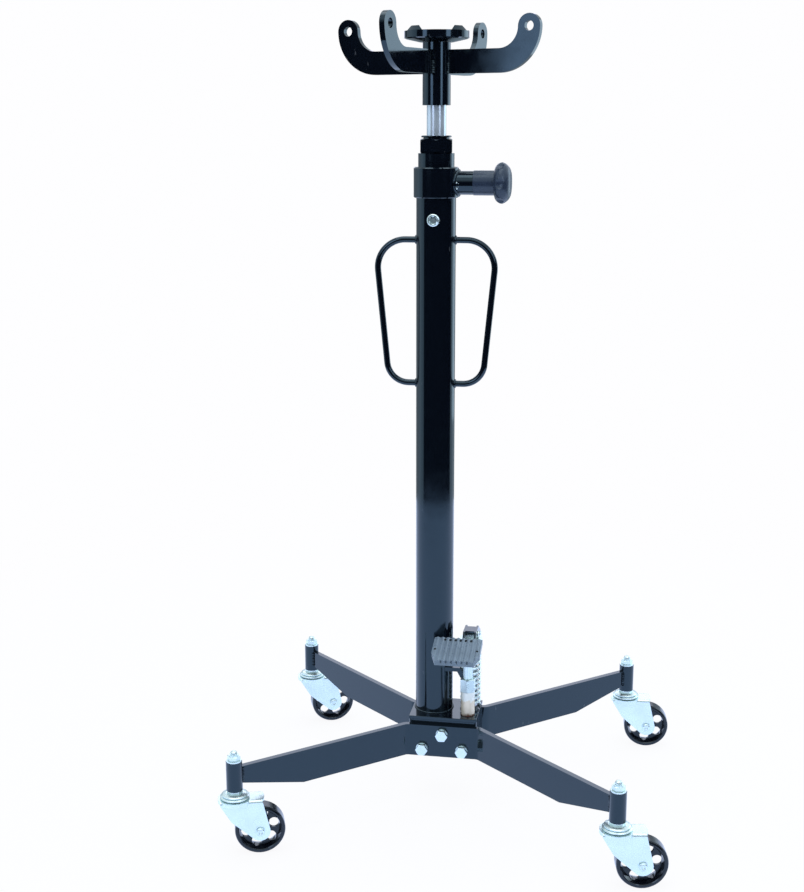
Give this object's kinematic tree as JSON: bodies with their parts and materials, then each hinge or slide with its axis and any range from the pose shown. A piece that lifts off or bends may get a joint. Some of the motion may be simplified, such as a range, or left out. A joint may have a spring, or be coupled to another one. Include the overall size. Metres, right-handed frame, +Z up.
{
  "type": "transmission jack",
  "caption": "Foot-pumped telescopic column on splayed legs with swivel castors, carrying a turning saddle and a cross of upright arms",
  "frame": {"origin": "on the floor, on the axis of the column", "axes": "+Z up the column, +X towards the lock knob, -Y towards the pedal"},
  "size_m": [0.6276, 0.5225, 1.1487],
  "materials": {
    "black_paint": "gloss black enamel",
    "chrome": "hard chrome, polished",
    "zinc": "bright zinc plate",
    "bare_steel": "turned steel, oiled",
    "brass": "turned brass",
    "knob_plastic": "moulded, satin",
    "wheel_plastic": "moulded, satin",
    "pedal_cast": "cast, painted grey",
    "seal_rubber": "nitrile",
    "ring_plastic": "bearing plastic"
  },
  "bodies": {
    "base": {"base_block": "black_paint", "top_plate": "black_paint", "front_leg": "black_paint", "rear_leg": "black_paint", "castor_posts": "black_paint", "leg_bolts": "zinc", "leg_washers": "zinc", "outer_tube": "black_paint", "guide_collar": "black_paint", "knob_boss": "black_paint", "left_handle": "black_paint", "right_handle": "black_paint", "guide_screw": "zinc", "feed_pipe": "bare_steel", "fulcrum_post": "black_paint", "fulcrum_pin": "zinc", "pump_barrel": "bare_steel", "pump_spring": "zinc", "valve_body": "brass", "valve_nut": "zinc", "valve_stay": "black_paint", "release_spring": "zinc", "castor_stems": "zinc", "castor_nuts": "zinc", "castor_washers": "zinc", "castor_caps": "zinc"},
    "inner_column": {"inner_tube": "black_paint", "guide_rings": "ring_plastic", "gland_nut": "black_paint", "wiper_cap": "black_paint", "cylinder_liner": "bare_steel", "column_foot": "bare_steel"},
    "ram": {"ram_rod": "chrome", "piston": "bare_steel", "piston_seal": "seal_rubber"},
    "carrier": {"saddle_sleeve": "black_paint", "carrier_arms": "black_paint"},
    "saddle": {"saddle": "black_paint"},
    "clamp": {"clamp_pad": "brass"},
    "knob": {"lock_knob": "knob_plastic", "lock_screw": "bare_steel"},
    "pedal": {"pedal_tread": "pedal_cast", "pedal_lever": "black_paint"},
    "plunger": {"pump_plunger": "bare_steel", "pump_head": "zinc", "pump_pin": "zinc", "spring_cap": "zinc"},
    "button": {"release_button": "zinc"},
    "castor_fl": {"castor_fork_fl": "zinc", "castor_axle_fl": "zinc"},
    "wheel_fl": {"castor_wheel_fl": "wheel_plastic"},
    "castor_fr": {"castor_fork_fr": "zinc", "castor_axle_fr": "zinc"},
    "wheel_fr": {"castor_wheel_fr": "wheel_plastic"},
    "castor_br": {"castor_fork_br": "zinc", "castor_axle_br": "zinc"},
    "wheel_br": {"castor_wheel_br": "wheel_plastic"},
    "castor_bl": {"castor_fork_bl": "zinc", "castor_axle_bl": "zinc"},
    "wheel_bl": {"castor_wheel_bl": "wheel_plastic"}
  },
  "joints": [
    {"name": "inner_column_slide", "type": "slide", "parent": "base", "child": "inner_column", "axis": [0, 0, 1], "range_m": [0, 0.4]},
    {"name": "ram_slide", "type": "slide", "parent": "inner_column", "child": "ram", "axis": [0, 0, 1], "range_m": [0, 0.4]},
    {"name": "carrier_swivel", "type": "hinge", "parent": "ram", "child": "carrier", "pos_m": [0, 0, 1.0887], "axis": [0, 0, 1], "continuous": true},
    {"name": "saddle_swivel", "type": "hinge", "parent": "carrier", "child": "saddle", "pos_m": [0, 0, 1.1147], "axis": [0, 0, 1], "continuous": true},
    {"name": "clamp_slide", "type": "slide", "parent": "base", "child": "clamp", "axis": [1, 0, 0], "range_m": [0, 0.0062]},
    {"name": "knob_turn", "type": "hinge", "parent": "clamp", "child": "knob", "pos_m": [0.06, 0, 0.925], "axis": [1, 0, 0], "range_deg": [0, 1080]},
    {"name": "pedal_hinge", "type": "hinge", "parent": "base", "child": "pedal", "pos_m": [0.054, 0.0385, 0.245], "axis": [1, 0, 0], "range_deg": [0, 16]},
    {"name": "plunger_slide", "type": "slide", "parent": "base", "child": "plunger", "axis": [0, 0, -1], "range_m": [0, 0.0076], "stiffness_N_per_m": 1500, "springref_m": -0.01, "deforming": ["pump_spring"]},
    {"name": "release_press", "type": "slide", "parent": "base", "child": "button", "axis": [0, 0, -1], "range_m": [0, 0.005], "stiffness_N_per_m": 3000, "springref_m": -0.003, "deforming": ["release_spring"]},
    {"name": "castor_swivel_fl", "type": "hinge", "parent": "base", "child": "castor_fl", "pos_m": [-0.247, -0.2345, 0.085], "axis": [0, 0, 1], "continuous": true},
    {"name": "wheel_spin_fl", "type": "hinge", "parent": "castor_fl", "child": "wheel_fl", "pos_m": [-0.21476, -0.22371, 0.0355], "axis": [-0.3173, 0.9483, 0], "continuous": true},
    {"name": "castor_swivel_fr", "type": "hinge", "parent": "base", "child": "castor_fr", "pos_m": [0.285, -0.2345, 0.085], "axis": [0, 0, 1], "continuous": true},
    {"name": "wheel_spin_fr", "type": "hinge", "parent": "castor_fr", "child": "wheel_fr", "pos_m": [0.31848, -0.2286, 0.0355], "axis": [-0.1736, 0.9848, 0], "continuous": true},
    {"name": "castor_swivel_br", "type": "hinge", "parent": "base", "child": "castor_br", "pos_m": [0.285, 0.2265, 0.085], "axis": [0, 0, 1], "continuous": true},
    {"name": "wheel_spin_br", "type": "hinge", "parent": "castor_br", "child": "wheel_br", "pos_m": [0.31889, 0.22917, 0.0355], "axis": [-0.0785, 0.9969, 0], "continuous": true},
    {"name": "castor_swivel_bl", "type": "hinge", "parent": "base", "child": "castor_bl", "pos_m": [-0.247, 0.2265, 0.085], "axis": [0, 0, 1], "continuous": true},
    {"name": "wheel_spin_bl", "type": "hinge", "parent": "castor_bl", "child": "wheel_bl", "pos_m": [-0.21582, 0.24006, 0.0355], "axis": [-0.3987, 0.9171, 0], "continuous": true}
  ],
  "couplings": [
    {"joint": "clamp_slide", "follows": "knob_turn", "m_per_rad": 0.00031831},
    {"joint": "plunger_slide", "follows": "pedal_hinge", "m_per_rad": 0.0265}
  ]
}
